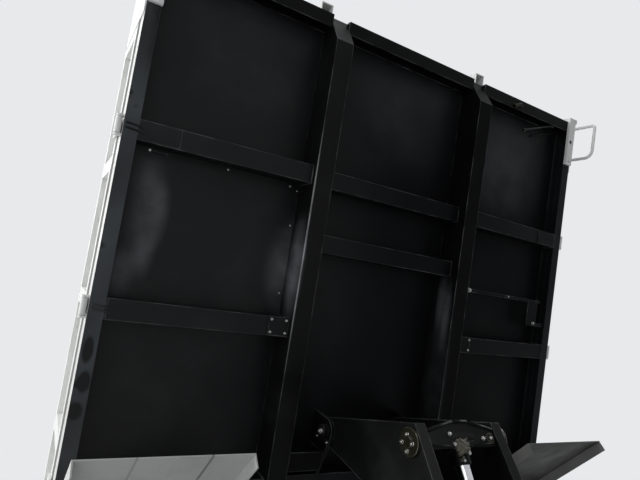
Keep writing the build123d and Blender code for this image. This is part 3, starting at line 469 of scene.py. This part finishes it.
class Piece:
    """Small solids gathered into one mesh that rides on one body."""

    def __init__(self, name, body, paint_name, place):
        self.name, self.body, self.paint_name, self.place = name, body, paint_name, place
        self.mesh = bmesh.new()

    def prism(self, middle, axis, radius, length, sides, end=1.0):
        """A prism or cylinder about an axis; end scales its far radius."""
        turn = Vector(axis).to_track_quat("Z", "Y").to_matrix().to_4x4()
        bmesh.ops.create_cone(
            self.mesh, cap_ends=True, segments=sides, radius1=radius, radius2=radius * end, depth=length,
            matrix=self.place @ Matrix.Translation(middle) @ turn,
        )

    def rod(self, start, stop, radius):
        """A round bar between two points."""
        start, stop = Vector(start), Vector(stop)
        self.prism((start + stop) / 2, stop - start, radius, (stop - start).length, ROD_SIDES)

    def bolt(self, seat, axis, size):
        """A washer, a hexagon head and the end of its thread, standing on a seat."""
        seat, axis = Vector(seat), Vector(axis).normalized()
        self.prism(seat + axis * 0.12 * size, axis, 1.05 * size, 0.24 * size, 20)
        self.prism(seat + axis * 0.60 * size, axis, 0.92 * size, 0.75 * size, 6, 0.93)
        self.prism(seat + axis * 1.10 * size, axis, 0.42 * size, 0.40 * size, 12, 0.8)

    def block(self, low, high):
        """A box between two corners."""
        low, high = Vector(low), Vector(high)
        size = Matrix.Diagonal((*(high - low), 1))
        middle = Matrix.Translation((low + high) / 2)
        bmesh.ops.create_cube(self.mesh, size=1, matrix=self.place @ middle @ size)

    def sheet(self, corners, rise):
        """A flat plate by four corners, given thickness along rise."""
        ring = [self.mesh.verts.new(self.place @ Vector(c)) for c in corners]
        top = [self.mesh.verts.new(self.place @ (Vector(c) + Vector(rise))) for c in corners]
        self.mesh.faces.new(ring)
        self.mesh.faces.new(top[::-1])
        for n in range(4):
            self.mesh.faces.new((ring[n - 1], ring[n], top[n], top[n - 1]))

    def bead(self, start, stop, radius=0.003):
        """A weld bead: short drops that overlap along a line."""
        start, stop = Vector(start), Vector(stop)
        count = max(2, int((stop - start).length / (1.6 * radius)))
        for n in range(count):
            middle = start.lerp(stop, (n + 0.5) / count)
            self.drop(middle, radius * chance.uniform(0.85, 1.2), 1)

    def drop(self, middle, radius, subdivisions):
        """A small round lump."""
        place = self.place @ Matrix.Translation(middle)
        bmesh.ops.create_icosphere(self.mesh, subdivisions=subdivisions, radius=radius, matrix=place)

    def done(self, smooth=False):
        """Makes the mesh a piece with its paint, riding on its body."""
        data = bpy.data.meshes.new(self.name)
        bmesh.ops.recalc_face_normals(self.mesh, faces=self.mesh.faces)
        self.mesh.to_mesh(data)
        self.mesh.free()
        piece = bpy.data.objects.new(self.name, data)
        bpy.context.scene.collection.objects.link(piece)
        if smooth:
            for polygon in data.polygons:
                polygon.use_smooth = True
        paint(piece, self.paint_name)
        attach(piece, self.body)


def member_low(x):
    """Height of an outrigger's bottom at a distance from the middle."""
    share = (abs(x) - SILL_OUTER) / (RAIL_INNER - SILL_OUTER)
    return FLOOR - DEPTH_AT_SILL + share * (DEPTH_AT_SILL - DEPTH_AT_RAIL)


def crosswise(near, far, start, stop):
    """Four corners on an outrigger's bottom, between two distances and two places along the bed."""
    return [(x, y, member_low(x)) for x, y in ((near, start), (near, stop), (far, stop), (far, start))]


# Welds of the crossmembers and outriggers to the sills and rails
weld_top = FLOOR - 0.006
weld_low_at_rail = FLOOR - 0.055
welds = Piece("member_welds", "tipping_body", "black_paint", BED)
for start in CENTRES:
    stop = start + MEMBER_WIDTH
    bottom = FLOOR - CENTRE_DEPTH
    for y in (start, stop):
        for x in (-SILL_INNER, SILL_INNER):
            welds.bead((x, y, bottom), (x, y, FLOOR))
    for x in (-SILL_INNER, SILL_INNER):
        welds.bead((x, start, bottom), (x, stop, bottom))
for start in MEMBERS:
    stop = start + MEMBER_WIDTH
    for sign in (-1, 1):
        sill, rail = sign * SILL_OUTER, sign * RAIL_INNER
        sill_bottom, rail_bottom = FLOOR - DEPTH_AT_SILL, FLOOR - DEPTH_AT_RAIL
        for y in (start, stop):
            welds.bead((sill, y, sill_bottom), (sill, y, FLOOR))
            welds.bead((rail, y, weld_low_at_rail), (rail, y, weld_top))
        welds.bead((sill, start, sill_bottom), (sill, stop, sill_bottom))
        welds.bead((rail, start, rail_bottom), (rail, stop, rail_bottom))
welds.done(smooth=True)

# Stitch welds between the floor and the sills
stitch_length = 0.040
last_stitch = 0.10
stitches = Piece("floor_stitches", "tipping_body", "floor_paint", BED)
for x in (-SILL_OUTER, -SILL_INNER, SILL_INNER, SILL_OUTER):
    y = FRONT + 0.060
    while y < last_stitch:
        stitches.bead((x, y, FLOOR), (x, y + stitch_length, FLOOR), 0.0026)
        y += chance.uniform(0.14, 0.17)
stitches.done(smooth=True)

# Doubling plate under the first outrigger's outer end on each side, with a dark disc of painted shade where its
# hole is
hole_out = 0.868
doublers = Piece("outrigger_doublers", "tipping_body", "black_paint", BED)
hole_shades = Piece("doubler_hole_shade", "tipping_body", "eye_paint", BED)
for sign in (-1, 1):
    start, stop = MEMBERS[0] + 0.001, MEMBERS[0] + MEMBER_WIDTH - 0.001
    doublers.sheet(crosswise(sign * 0.790, sign * 0.908, start, stop), (0, 0, -0.002))
    place = (sign * hole_out, (start + stop) / 2, member_low(hole_out) - 0.0022)
    hole_shades.prism(place, (0, 0, 1), 0.006, 0.001, 16)
doublers.done()
hole_shades.done()

# Joint plate with bolts under each second outrigger, at the sill
plate_depth = 0.005
joint_plates = Piece("joint_plates", "tipping_body", "black_paint", BED)
joint_bolts = Piece("joint_bolts", "tipping_body", "bright_bolt", BED)
for sign in (-1, 1):
    start, stop = MEMBERS[1] - 0.002, MEMBERS[1] + MEMBER_WIDTH - 0.002
    joint_plates.sheet(crosswise(sign * 0.368, sign * 0.436, start, stop), (0, 0, -plate_depth))
    for x in (0.378, 0.428):
        for y in (start + 0.010, stop - 0.010):
            joint_bolts.bolt((sign * x, y, member_low(x) - plate_depth), DOWN, 0.0042)
joint_plates.done()

# Cross rod and strap in the second bay, on one side only, with their bolts
cross_y = FRONT + 0.843
strap_y = cross_y + 0.096
rod_low = FLOOR - 0.046
strap_low = FLOOR - 0.052
straps = Piece("bay_strap", "tipping_body", "black_paint", BED)
straps.block((SILL_OUTER, cross_y - 0.006, rod_low), (0.880, cross_y + 0.006, FLOOR - 0.040))
straps.block((0.796, cross_y, strap_low), (0.856, strap_y + 0.012, rod_low))
straps.block((0.846, strap_y, strap_low), (RAIL_INNER, strap_y + 0.012, rod_low))
straps.done()
for x in (0.402, 0.436):
    joint_bolts.bolt((x, cross_y, rod_low), DOWN, 0.0085)
joint_bolts.bolt((0.838, strap_y, strap_low), DOWN, 0.006)
joint_bolts.rod((0.650, cross_y, rod_low), (0.650, cross_y, rod_low - 0.020), 0.0030)

# Latch rods at one front corner, with their collars and guide
latch_low = FLOOR - 0.045
latch_axis = (0.93, -0.36, 0)
catch_axis = (0.91, -0.41, 0)
latch = Piece("latch_rods", "tipping_body", "black_paint", BED)
latch.rod((0.640, FRONT + 0.112, latch_low), (0.860, FRONT + 0.026, latch_low), 0.005)
latch.rod((0.734, FRONT + 0.105, FLOOR - 0.008), (0.870, FRONT + 0.055, FLOOR - 0.008), 0.004)
latch.block((0.812, FRONT + 0.032, FLOOR - 0.050), (0.828, FRONT + 0.050, FLOOR))
latch.done()
collars = Piece("latch_collars", "tipping_body", "bronze_flange", BED)
for x, y in ((0.642, 0.111), (0.860, 0.026)):
    collars.prism((x, FRONT + y, latch_low), latch_axis, 0.007, 0.010, 16)
collars.prism((0.562, FRONT + 0.030, FLOOR - 0.064), catch_axis, 0.009, 0.040, 18)
collars.bolt((0.588, FRONT + 0.024, FLOOR - 0.060), DOWN, 0.006)
collars.done()

# Small bolts along the first outrigger and the sill, on one side only
for x, y, depth in (
    (-0.400, 0.600, 0.0), (-0.372, 0.610, 0.0), (-0.350, 0.618, 0.0), (-0.620, 0.596, 0.0),
    (-0.376, 0.730, 0.0), (-0.376, 0.960, 0.0), (-0.868, 0.607, 0.052),
):
    joint_bolts.bolt((x, FRONT + y, FLOOR - depth), DOWN, 0.0036)
joint_bolts.done()

# Cable clips across the rail's flange at the outriggers, with a stub behind the first
clips = Piece("rail_clips", "tipping_body", "shade_paint", BED)
for y in (0.548, 0.562, 1.052, 1.064):
    clips.rod((-0.944, FRONT + y, 0.103), (-0.896, FRONT + y + 0.004, 0.104), 0.0026)
clips.rod((-0.866, FRONT + 0.607, FLOOR - 0.048), (-0.820, FRONT + 0.607, FLOOR - 0.046), 0.0055)
clips.done()

# Arm pivot: keeper bars over the pin's ends, with a bright nut
pin_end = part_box("arm_pin")[1][0]
pivot_in_bed = BED.inverted() @ arm_pivot
keeper_inner = 0.174
keeper_outer = 0.180
keepers = Piece("pin_keepers", "tipping_body", "hoist_paint", BED)
nuts = Piece("pin_nuts", "tipping_body", "bright_bolt", BED)
for sign in (-1, 1):
    left, right = sorted((sign * keeper_inner, sign * keeper_outer))
    y, z = pivot_in_bed.y, pivot_in_bed.z
    keepers.block((left, y + 0.021, z - 0.040), (right, y + 0.033, z + 0.040))
    nuts.bolt((sign * pin_end, y, z), (sign, 0, 0), 0.0095)
    for rise in (-0.032, 0.032):
        nuts.bolt((sign * keeper_outer, y + 0.027, z + rise), (sign, 0, 0), 0.004)
keepers.done()
nuts.done()

# Bolts of the knee flanges, on a ring about each
ring_radius = 0.021
first_angle = 0.5
flange_bolts = Piece("flange_bolts", "lift_arm", "bright_bolt", Matrix.Translation(knee))
for sign in (-1, 1):
    for n in range(4):
        angle = first_angle + n * pi / 2
        seat = (sign * flange_face, 0.006 + ring_radius * cos(angle), ring_radius * sin(angle))
        flange_bolts.bolt(seat, (sign, 0, 0), 0.0058)
flange_bolts.done()

# Crosshead: its bolts, stubs, ring and rims, and the grease on the rod's eye
head_front = 0.031
outward = (0, 0, -1)
end_bolt = (0.104, 0.004)
head_bolts = Piece("crosshead_bolts", "cylinder_rod", "bright_bolt", RAM)
for x, y in ((-0.046, -0.010), (0.076, 0.004), end_bolt):
    head_bolts.bolt((x, y, -head_front), outward, 0.0052)
for x, y, size in ((-0.040, 0.016, 0.005), (0.004, 0.040, 0.005), (-0.022, 0.058, 0.004)):
    head_bolts.prism((x, y, -0.030), (0, 0.3, -1), size, 0.014, 12)
head_bolts.done()
ring = Piece("crosshead_ring", "cylinder_rod", "bronze_flange", RAM)
ring.prism((*end_bolt, -head_front), outward, 0.014, 0.004, 20)
ring.done()
rims = Piece("crosshead_rims", "cylinder_rod", "hoist_paint", RAM)
arch_line = ((-0.119, -0.020), (-0.028, -0.043), (0.028, -0.043), (0.119, -0.020))
arch = [(x, y, -head_front) for x, y in arch_line]
for start, stop in zip(arch, arch[1:]):
    rims.rod(start, stop, 0.005)
for x in (-0.038, 0.038):
    rims.rod((x, 0.022, -head_front), (3.1 * x, 0.018, -head_front), 0.004)
rims.done(smooth=True)
grease = Piece("eye_grease", "cylinder_rod", "grease", RAM)
for n in range(90):
    place = (chance.gauss(-0.010, 0.011), chance.gauss(0.022, 0.010), -head_front + 0.003)
    grease.drop(place, chance.uniform(0.003, 0.008), 2)
grease.done(smooth=True)

# Floor, well below the lowest piece, so that lowered poses clear it
floor_gap = 0.35
floor_size = 600.0


def studio_material():
    """A pale floor; light of its own, where the camera sees it, carries it into the sky."""
    m = Material("studio_floor")
    darker = tuple(0.97 * c for c in FLOOR_COLOUR)
    m.set(Base_Color=m.mix(m.noise(0.8), FLOOR_COLOUR, darker))
    m.set(Roughness=0.7, Specular_IOR_Level=0.2)
    reach = m.add("ShaderNodeVectorMath", operation="LENGTH")
    m.link(m.place, reach.inputs[0])
    glow = m.spread(reach.outputs["Value"], 3.0, 22.0, 0.24, 0.63)
    m.shader.inputs["Emission Color"].default_value = (*SKY, 1)
    seen = m.add("ShaderNodeLightPath").outputs["Is Camera Ray"]
    m.set(Emission_Strength=m.combine("MULTIPLY", seen, glow))
    return m.data


bpy.ops.mesh.primitive_plane_add(size=floor_size, location=(0, 0, cad_box[0][2] - floor_gap))
floor = bpy.context.object
floor.name = "studio_floor"
floor.data.materials.append(studio_material())

# Sky: near white where it is seen, plain soft light elsewhere
sky_light = 0.32
world = bpy.data.worlds.new("studio")
bpy.context.scene.world = world
world.use_nodes = True
tree = world.node_tree
background = tree.nodes["Background"]
background.inputs["Color"].default_value = (*SKY, 1)
path = tree.nodes.new("ShaderNodeLightPath").outputs
seen = path["Is Camera Ray"]
for kind in ("Is Glossy Ray", "Is Transmission Ray"):
    either = tree.nodes.new("ShaderNodeMath")
    either.operation = "MAXIMUM"
    tree.links.new(seen, either.inputs[0])
    tree.links.new(path[kind], either.inputs[1])
    seen = either.outputs[0]
strength = tree.nodes.new("ShaderNodeMapRange")
strength.inputs["To Min"].default_value = sky_light
strength.inputs["To Max"].default_value = 1.0
tree.links.new(seen, strength.inputs["Value"])
tree.links.new(strength.outputs["Result"], background.inputs["Strength"])

# Soft boxes: place, what they face, size, watts
SOFT_BOXES = {
    "left_side": ((-9.0, -0.6, 5.0), (-0.9, -1.0, 1.2), 6.0, 770),
    "right_side": ((9.0, -0.6, 5.0), (0.9, -1.0, 1.2), 6.0, 420),
    "above": ((0.0, 2.8, 8.0), (0, -0.8, 1.0), 6.0, 240),
    "front": ((-3.6, -4.6, 1.0), (-0.5, -1.4, 1.4), 2.0, 24),
}
for name, (place, facing, size, watts) in SOFT_BOXES.items():
    light = bpy.data.lights.new(name, "AREA")
    light.size = size
    light.energy = watts
    lamp = bpy.data.objects.new(name, light)
    lamp.location = place
    lamp.rotation_euler = (Vector(facing) - Vector(place)).to_track_quat("-Z", "Y").to_euler()
    bpy.context.scene.collection.objects.link(lamp)

# Camera, turned to its heading and rise and then rolled
camera_data = bpy.data.cameras.new("camera")
camera_data.lens = camera_lens
camera = bpy.data.objects.new("camera", camera_data)
camera.location = camera_place
sight = Vector((
    sin(camera_heading) * cos(camera_rise),
    cos(camera_heading) * cos(camera_rise),
    sin(camera_rise),
))
turn = sight.to_track_quat("-Z", "Y").to_matrix() @ Matrix.Rotation(camera_roll, 3, "Z")
camera.rotation_euler = turn.to_euler()
bpy.context.scene.collection.objects.link(camera)
bpy.context.scene.camera = camera

bpy.context.scene.view_settings.view_transform = "Standard"
